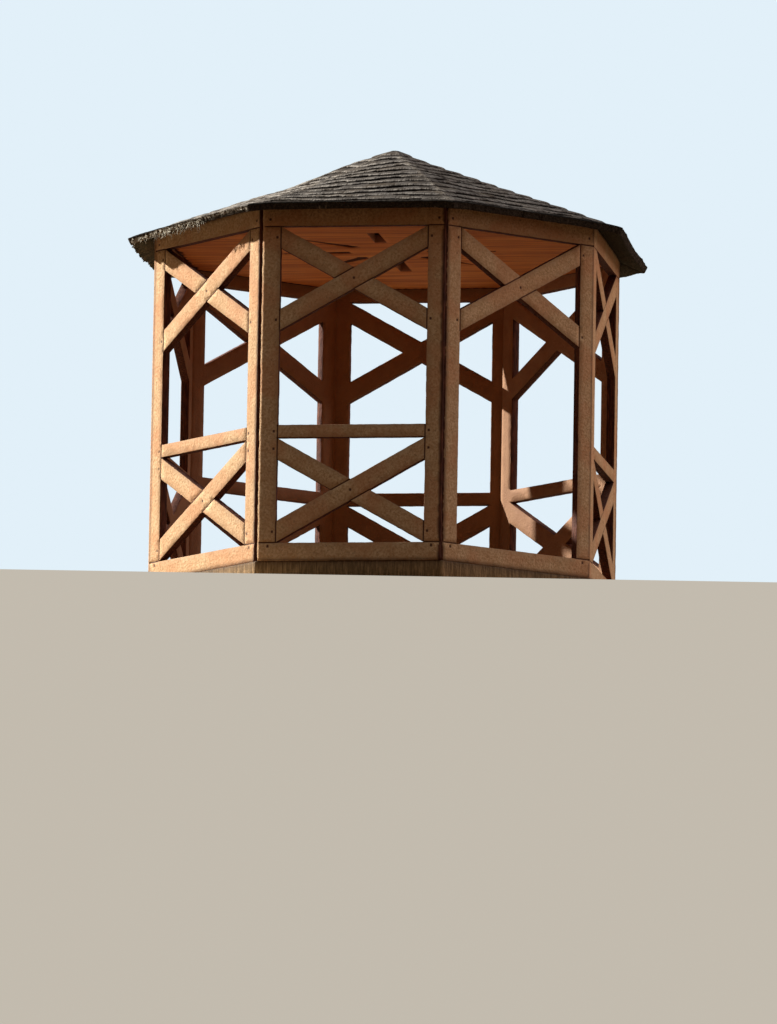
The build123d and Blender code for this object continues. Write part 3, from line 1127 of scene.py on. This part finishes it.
def torn_fibres(seed):
    """Strands rooted in the cut edge. With s the share of a strand's length, its middle line is root +
    length * (s * aim + s^2 * bend), and its half width and half thickness shrink as (1 - s)^TAPER_POWER,
    plus a TIP_SHARE that keeps the tip from being a point."""
    draw = np.random.default_rng(seed)
    crowded = draw.normal(*CROWD, STRANDS)
    spread = draw.uniform(*OTHERS, STRANDS)
    across = np.where(draw.uniform(0, 1, STRANDS) < CROWD_SHARE, crowded, spread)
    across = np.concatenate([np.clip(across, *ROOTS), FLAKE_PLACES])
    count = len(across)

    def ways(sway, outwards, upwards):
        """What is drawn for each strand: a way to the side, outwards and up."""
        parts = [draw.normal(0, sway, count), draw.uniform(*outwards, count), draw.uniform(*upwards, count)]
        return np.stack(parts, axis=1)

    level = draw.uniform(*STRAND_LEVELS, count)
    length = draw.uniform(*STRAND_LENGTHS, count)
    width = draw.uniform(*STRAND_WIDTHS, count)
    length[STRANDS:] = FLAKE_LENGTHS
    width[STRANDS:] = FLAKE_WIDTHS
    reach = TOP_REACH + (UNDER_REACH - TOP_REACH) * level - ROOT_DEPTH
    top, bottom = top_height(TOP_REACH), under_height(UNDER_REACH)
    root = np.stack([across, reach, top + (bottom - top) * level], axis=1)
    aim = ways(0.5, (0.0, 0.5), (-1, -0.1))
    bend = ways(0.4, (-0.5, 0.1), (-0.6, 0.2))
    share = np.linspace(0, 1, STRAND_RINGS)[None, :, None]
    line = root[:, None] + length[:, None, None] * (share * aim[:, None] + share**2 * bend[:, None])
    twist = draw.uniform(-STRAND_TWIST, STRAND_TWIST, count)
    wide = np.stack([np.cos(twist), np.sin(twist), 0 * twist], axis=1)
    thin = np.stack([-np.sin(twist), np.cos(twist), 0 * twist], axis=1)
    turns = np.arange(STRAND_ROUND) * math.tau / STRAND_ROUND
    taper = (1 - share) ** TAPER_POWER + TIP_SHARE
    thickness = THINNEST + THICKER * width
    half_wide = (width[:, None] * np.cos(turns))[:, None, :, None] * wide[:, None, None, :]
    half_thin = thickness[:, None, None, None] * np.sin(turns)[:, None] * thin[:, None, None, :]
    points = line[:, :, None] + taper[..., None] * (half_wide + half_thin)
    numbers = np.arange(count * STRAND_RINGS * STRAND_ROUND).reshape(count, STRAND_RINGS, STRAND_ROUND)
    sides = grid_quads(np.concatenate([numbers, numbers[:, :, :1]], axis=2))
    ends = np.concatenate([numbers[:, 0, ::-1], numbers[:, -1]])
    local = points.reshape(-1, 3)
    marks = {"fray": np.ones(len(local)), "lay": local}
    return fill_mesh("torn_fibres", stood(local, "left"), [sides, ends], marks)


fibres = torn_fibres(900)

# %% [markdown]
# The finishes are shader nodes written as arithmetic. A Wire is the output of a node, and adding two wires
# adds a Math node, so a mask reads like a formula. Colours are mixed by the Mix node.


# %% Wires that take part in arithmetic
class Wire:
    """An output of a shader node, which takes part in Python arithmetic by adding Math nodes."""

    def __init__(self, tree, socket=None):
        self.tree = tree
        self.socket = socket

    def node(self, kind, settings=None, inputs=None, output=0):
        """Add a node: first its settings, then a value or a wire for each input, by name or number."""
        made = self.tree.nodes.new(kind)
        for label, setting in (settings or {}).items():
            setattr(made, label, setting)
        for label, value in (inputs or {}).items():
            if isinstance(value, Wire):
                self.tree.links.new(value.socket, made.inputs[label])
            else:
                made.inputs[label].default_value = value
        return Wire(self.tree, made.outputs[output] if len(made.outputs) else None)

    def math(self, operation, *values):
        return self.node("ShaderNodeMath", {"operation": operation}, dict(enumerate(values)))

    def __add__(self, other):
        return self.math("ADD", self, other)

    def __sub__(self, other):
        return self.math("SUBTRACT", self, other)

    def __rsub__(self, other):
        return self.math("SUBTRACT", other, self)

    def __mul__(self, other):
        return self.math("MULTIPLY", self, other)

    __radd__ = __add__
    __rmul__ = __mul__


def between(value, low, high):
    """A wire that rises from 0 at low to 1 at high and stays inside those."""
    settings = {"clamp": True, "interpolation_type": "SMOOTHSTEP"}
    return value.node("ShaderNodeMapRange", settings, {"Value": value, "From Min": low, "From Max": high})


def colour(red, green, blue):
    """A colour from the 0 to 255 numbers of a colour chart, as the linear numbers that shaders use."""
    chart = np.array([red, green, blue]) / 255
    linear = np.where(chart <= 0.04045, chart / 12.92, ((chart + 0.055) / 1.055) ** 2.4)
    return (*linear.tolist(), 1.0)


def mixed(factor, first, second):
    """Two colours mixed by a factor from 0 to 1."""
    settings = {"data_type": "RGBA", "blend_type": "MIX", "clamp_factor": True}
    return factor.node("ShaderNodeMix", settings, {0: factor, 6: first, 7: second}, 2)


def scaled(vector, across, along, up=1.0):
    """A vector wire with its three parts multiplied, for grain that runs one way."""
    inputs = {"Vector": vector, "Scale": (across, along, up)}
    return vector.node("ShaderNodeMapping", {"vector_type": "POINT"}, inputs)


def in_millimetres(tree, turn=0.0):
    """Object coordinates in millimetres, turned about the upright."""
    place = tree.node("ShaderNodeTexCoord", output=3)
    inputs = {"Vector": place, "Rotation": (0, 0, turn), "Scale": (1 / MM, 1 / MM, 1 / MM)}
    return tree.node("ShaderNodeMapping", {"vector_type": "POINT"}, inputs)


def noise(vector, scale, detail=2.0, rough=0.55):
    """Blender's noise texture, with scale in features a millimetre."""
    inputs = {"Vector": vector, "Scale": scale, "Detail": detail, "Roughness": rough}
    return vector.node("ShaderNodeTexNoise", None, inputs)


def mark(tree, name, output=2):
    """A mark that a mesh carries, as a number, or as a vector from output 1."""
    return tree.node("ShaderNodeAttribute", {"attribute_name": name}, output=output)


def new_material(name):
    """A material with an empty tree."""
    material = bpy.data.materials.new(name)
    material.use_nodes = True
    material.node_tree.nodes.clear()
    return material, Wire(material.node_tree)


def finish_material(tree, base, rough, height, relief, sheen=0.25):
    """The shader of a matt surface: height is a wire for the bump, relief its depth in millimetres. Rough
    card reflects almost nothing even at a flat angle, which a sheen of 0 stands for."""
    bump = tree.node("ShaderNodeBump", None, {"Height": height, "Strength": 1.0, "Distance": relief * MM})
    inputs = {"Base Color": base, "Roughness": rough, "Normal": bump, "Specular IOR Level": sheen}
    surface = tree.node("ShaderNodeBsdfPrincipled", None, inputs)
    tree.node("ShaderNodeOutputMaterial", None, {"Surface": surface})


# %% [markdown]
# The walls are fibreboard: pressed wood chips with a fine speckle, cut by a hot beam. Three things read at
# arm's length: the speckle, the dark burnt edges inside the cut-outs, and the pale rubbed arris outside.


# %% Fibreboard
def board_material(name, light, dark, rear, char, scorched, patches):
    """Fibreboard from five colours, the lighter and darker chips of the face, the back, and the two that
    streak the cut edge, and from how much of the warmer patches shows."""
    material, tree = new_material(name)
    place = in_millimetres(tree)
    speckle = noise(place, 3.8, 3.0, 0.6)
    mottle = noise(place, 0.5)
    fleck = between(noise(place, 3.0, 1.0), 0.62, 0.7)
    face = mixed(between(speckle, 0.32, 0.68), dark, light)
    face = mixed(between(mottle, 0.35, 0.7) * (0.35 * patches), face, colour(198, 140, 88))
    face = mixed(between(noise(place, 0.2, 1.0), 0.45, 0.62) * (0.35 * patches), face, colour(216, 138, 88))
    face = mixed(fleck * 0.25, face, colour(126, 82, 48))
    face = mixed(mark(tree, "scorch") * between(speckle, 0.2, 0.7) * 0.35, face, colour(104, 62, 38))
    burn = between(mark(tree, "burn") + 0.35 * (speckle - 0.5), 0.1, 0.55)
    face = mixed(burn * 0.9, face, colour(78, 42, 24))
    face = mixed(mark(tree, "back"), face, mixed(between(mottle, 0.35, 0.7) * 0.3, rear, colour(142, 96, 66)))
    streak = noise(scaled(place, 5, 5, 0.6), 1.0)
    edge = mixed(between(streak, 0.35, 0.7), char, scorched)
    face = mixed(between(mark(tree, "cut"), 0.1, 0.85), face, edge)
    finish_material(tree, face, 0.8, speckle, 0.065)
    return material


face_colours = colour(238, 196, 146), colour(202, 154, 106), colour(172, 126, 90)
# The floor's face and back are painted much darker than the board of the walls, as painted shade: the dark
# floor bounces less light into the inside.
floor_shade_colours = colour(88, 65, 45), colour(66, 48, 33), colour(90, 64, 42)
board = board_material("wall_board", *face_colours, colour(74, 36, 20), colour(118, 64, 38), 1.0)
floor_board = board_material("floor_board", *floor_shade_colours, colour(138, 108, 68), colour(196, 156, 108), 0.1)
for piece in walls:
    piece.data.materials.append(board)
floor.data.materials.append(floor_board)
print("fibreboard on", len(walls), "walls and the floor")

# %% [markdown]
# The ceiling is redder, and its grain runs in fine lines parallel to the front left panel. Object
# coordinates are turned so that the first runs along the lines, and then squeezed along it.


# %% Ceiling board
def ceiling_material():
    """Red board with fine grain and darker lines that run one way, burnt grooves and pale cut edges."""
    material, tree = new_material("ceiling_board")
    place = in_millimetres(tree, -TURNS["front_left"])
    grain = noise(scaled(place, 0.1, 1.7), 1.0, 3.0)
    lines = noise(scaled(place, 0.03, 0.5), 1.0)
    face = mixed(between(grain, 0.35, 0.65), colour(212, 122, 60), colour(246, 160, 84))
    face = mixed(between(lines, 0.45, 0.6) * 0.5, face, colour(190, 102, 48))
    burn = between(mark(tree, "burn"), 0.02, 0.2)
    face = mixed(burn * 0.95, face, colour(58, 26, 12))
    face = mixed(between(mark(tree, "cut"), 0.1, 0.85), face, colour(206, 150, 118))
    finish_material(tree, face, 0.75, grain, 0.02)
    return material


ceiling.data.materials.append(ceiling_material())
print("ceiling board done")

# %% [markdown]
# The roof card has three surfaces. The face is weathered: dark in the steps, partly burnt and partly painted
# shade, brown-grey on the shingles, and pale at the lips, partly rubbed and partly a painted highlight, in
# dashes of unlike brightness. The cut edge is charred, and where it is torn the pale core shows. The
# underside is plain dark card.


# %% Roof card
def shingle_material():
    """Weathered card: a streaked body, hips rubbed pale in dashes, lips pale in dashes that are partly rubbed
    and partly a painted highlight, and steps painted dark, partly as burn and partly as painted shade.
    """
    material, tree = new_material("shingle_card")
    lay = mark(tree, "lay", 1)
    streaks = noise(scaled(lay, 6.5, 0.6), 1.0, 3.0)
    dash = noise(scaled(lay, 0.6, 0.5), 1.0, 3.0)
    speckle = noise(lay, 5.0, 3.0, 0.65)
    patch = noise(lay, 0.3)
    tone = 0.25 * mark(tree, "tone") + 0.75 * streaks
    body = mixed(between(tone, 0.3, 0.7), colour(60, 54, 49), colour(101, 94, 88))
    body = mixed(between(speckle, 0.35, 0.7) * 0.4, body, colour(76, 68, 62))
    body = mixed(between(patch, 0.45, 0.65) * 0.35, body, colour(98, 84, 69))
    # Pale lips: partly rubbed wear and partly a painted highlight
    rub_and_highlight = mark(tree, "rub_and_highlight") * between(0.55 * dash + 0.45 * streaks, 0.4, 0.6)
    body = mixed(rub_and_highlight * 0.9, body, colour(164, 153, 141))
    hip = mark(tree, "hip") * between(0.5 * speckle + 0.5 * dash, 0.42, 0.6)
    body = mixed(hip * 0.6, body, colour(144, 131, 116))
    # Dark steps, splits and eave: partly burn and partly painted shade
    char_and_shade = between(mark(tree, "char_and_shade") + 0.3 * (speckle - 0.5), 0.2, 0.85)
    body = mixed(char_and_shade * 0.93, body, colour(25, 21, 18))
    finish_material(tree, body, 0.85, 0.6 * streaks + 0.4 * speckle, 0.08, 0.0)
    return material


def card_edge_material():
    """A charred cut edge that turns to rubbed card where it is a little torn, and to pale fibre where it
    is torn deeply."""
    material, tree = new_material("card_edge")
    lay = mark(tree, "lay", 1)
    speckle = noise(in_millimetres(tree), 5.0, 3.0, 0.65)
    char = mixed(between(speckle, 0.35, 0.75), colour(50, 44, 37), colour(92, 81, 70))
    rubbed = mixed(between(speckle, 0.4, 0.65), colour(94, 85, 73), colour(172, 158, 140))
    fibre = mixed(between(speckle, 0.35, 0.62), colour(108, 97, 83), colour(206, 194, 174))
    torn = mark(tree, "fray") + 0.9 * (noise(lay, 1.2) - 0.5)
    char = mixed(between(torn, 0.12, 0.26), char, rubbed)
    fray = between(torn, 0.42, 0.62)
    finish_material(tree, mixed(fray, char, fibre), 0.85, speckle, 0.08, 0.0)
    return material


def card_under_material():
    """Plain dark card."""
    material, tree = new_material("card_underside")
    speckle = noise(in_millimetres(tree), 4.0, 3.0, 0.65)
    face = mixed(between(speckle, 0.35, 0.7), colour(62, 60, 52), colour(92, 88, 76))
    finish_material(tree, face, 0.85, speckle, 0.05, 0.0)
    return material


card_edge = card_edge_material()
roof_finishes = [shingle_material(), card_edge, card_under_material()]
for piece in facets:
    for material in roof_finishes:
        piece.data.materials.append(material)
fibres.data.materials.append(card_edge)
print("roof card on", len(facets), "facets")

# %% [markdown]
# The stage is a pale table whose front edge runs just before the object, because the camera looks up from
# below the table's level, as the photograph does. Its bearing is the camera's, so that is worked out first.

# %% Stage
AZIMUTH = math.radians(9.06 - 45)
ELEVATION = math.radians(-8.71)
SLAB_GAP = 0.7
SLAB_HALF = 420
SLAB_BACK = 900
SLAB_DEPTH = 120
level_back = np.array([math.sin(AZIMUTH), -math.cos(AZIMUTH)])
level_right = np.array([math.cos(AZIMUTH), math.sin(AZIMUTH)])
nearest = (octagon(WALL_APOTHEM) @ level_back).max() + SLAB_GAP


def stage_slab():
    """The table: a box from the near edge to far behind the object."""
    corners = [(-SLAB_HALF, nearest), (SLAB_HALF, nearest), (SLAB_HALF, -SLAB_BACK), (-SLAB_HALF, -SLAB_BACK)]
    plan = np.array([level_right * side + level_back * front for side, front in corners])
    levels = [np.column_stack([plan, np.full(4, height)]) for height in (0, -SLAB_DEPTH)]
    round_about = [[a, (a + 1) % 4, (a + 1) % 4 + 4, a + 4] for a in range(4)]
    faces = [np.array([[3, 2, 1, 0], [4, 5, 6, 7]] + round_about[1:]), np.array(round_about[:1])]
    piece = fill_mesh("table", np.concatenate(levels), faces, {}, [0, 1])
    piece.data.shade_flat()
    for name, shown in (("table", 0.0), ("table_front", 0.8)):
        material, tree = new_material(name)
        inputs = {"Base Color": colour(126, 108, 86), "Roughness": 0.9}
        lit = tree.node("ShaderNodeBsdfPrincipled", None, inputs)
        plain = tree.node("ShaderNodeEmission", None, {"Color": colour(214, 206, 192), "Strength": 1.0})
        seen = tree.node("ShaderNodeLightPath")
        surface = tree.node("ShaderNodeMixShader", None, {0: seen * shown, 1: lit, 2: plain})
        tree.node("ShaderNodeOutputMaterial", None, {"Surface": surface})
        piece.data.materials.append(material)


stage_slab()

# %% [markdown]
# The camera stands far off with a long lens, as far as 60 panel widths, and is rolled by about a degree.
# Its place is set back from the target so that the target falls on its pixel of the photograph's frame.

# %% Camera
ACROSS = 777
DOWN = 1024
ROLL = math.radians(0.974)
DISTANCE = 60 * ROOM_SIDE
FOCAL_PIXELS = 10648.0
TARGET = Vector((0, 0, FLOOR_THICKNESS + ROOM_SIDE))
TARGET_PIXEL = (386.73, 417.99)
SENSOR = 36
LENS = FOCAL_PIXELS / DOWN * SENSOR
FARTHEST = 10000


def scene_camera():
    """A camera that looks along minus `back`, with `right` and `up` turned by the roll."""
    back = Vector((*(level_back * math.cos(ELEVATION)), math.sin(ELEVATION)))
    right = Vector((*level_right, 0))
    up = right.cross(-back)
    right, up = right * math.cos(ROLL) + up * math.sin(ROLL), up * math.cos(ROLL) - right * math.sin(ROLL)
    place = TARGET + back * DISTANCE
    place -= right * (TARGET_PIXEL[0] - ACROSS / 2) / FOCAL_PIXELS * DISTANCE
    place += up * (TARGET_PIXEL[1] - DOWN / 2) / FOCAL_PIXELS * DISTANCE
    data = bpy.data.cameras.new("camera")
    data.sensor_width = SENSOR
    data.lens = LENS
    data.clip_end = FARTHEST * MM
    camera = bpy.data.objects.new("camera", data)
    camera.matrix_world = Matrix.Translation(place * MM) @ Matrix((right, up, back)).transposed().to_4x4()
    bpy.context.scene.collection.objects.link(camera)
    bpy.context.scene.camera = camera


scene_camera()
print("camera lens", round(LENS, 1), "mm")

# %% [markdown]
# Two lamps and an even surround. The key is small and far off, like a sun, and stands behind the object on
# the left. So the left wall is bright under the shadow of its eave, and bars of light fall through the
# openings on to the inside of the right wall. A wide weak fill on the right and the surround light the front.

# %% Light
LAMP_AIM = Vector((0, 0, 25))


def soft_lamp(name, bearing, elevation, distance, size, power, tint):
    """A square area lamp that faces the middle of the object, with its power in watts. Bearing and
    elevation are in degrees, and bearing 0 is the camera's side."""
    bearing = AZIMUTH + math.radians(bearing)
    elevation = math.radians(elevation)
    level = math.cos(elevation)
    away = Vector((math.sin(bearing) * level, -math.cos(bearing) * level, math.sin(elevation)))
    data = bpy.data.lights.new(name, "AREA")
    data.size = size * MM
    data.energy = power
    data.color = tint
    lamp = bpy.data.objects.new(name, data)
    facing = away.to_track_quat("Z", "Y").to_matrix().to_4x4()
    lamp.matrix_world = Matrix.Translation((away * distance + LAMP_AIM) * MM) @ facing
    bpy.context.scene.collection.objects.link(lamp)


soft_lamp("key", -114.7, 30.6, 1000, 20, 28.3, (0.98, 1, 0.98))
soft_lamp("fill", 102, 18, 700, 450, 1.65, (1, 0.85, 0.88))


# The surround's light at the horizon and overhead, the heights at which it turns from one to the other,
# and its strength
HORIZON = (0.44, 0.27, 0.16, 1)
ZENITH = (2.4, 2.8, 3.2, 1)
SKY_BAND = (0.4, 0.9)
SURROUND = 0.2


def world_light():
    """An even surround, and a pale backdrop that only the camera sees."""
    world = bpy.data.worlds.new("world")
    world.use_nodes = True
    world.node_tree.nodes.clear()
    tree = Wire(world.node_tree)
    seen = tree.node("ShaderNodeLightPath")
    way = tree.node("ShaderNodeTexCoord")
    height = tree.node("ShaderNodeSeparateXYZ", None, {"Vector": way}, 2)
    sky = mixed(between(height, *SKY_BAND), HORIZON, ZENITH)
    around = tree.node("ShaderNodeBackground", None, {"Color": sky, "Strength": SURROUND})
    backdrop = tree.node("ShaderNodeBackground", None, {"Color": colour(226, 240, 249), "Strength": 1.0})
    surface = tree.node("ShaderNodeMixShader", None, {0: seen, 1: around, 2: backdrop})
    tree.node("ShaderNodeOutputWorld", None, {"Surface": surface})
    bpy.context.scene.world = world


world_light()
bpy.context.scene.view_settings.view_transform = "Standard"

# %% [markdown]
# Last, every piece is handed to the frame: it rides on the one body.

# %% Hand over
for piece in walls + facets + [floor, ceiling, fibres]:
    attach(piece, "root")
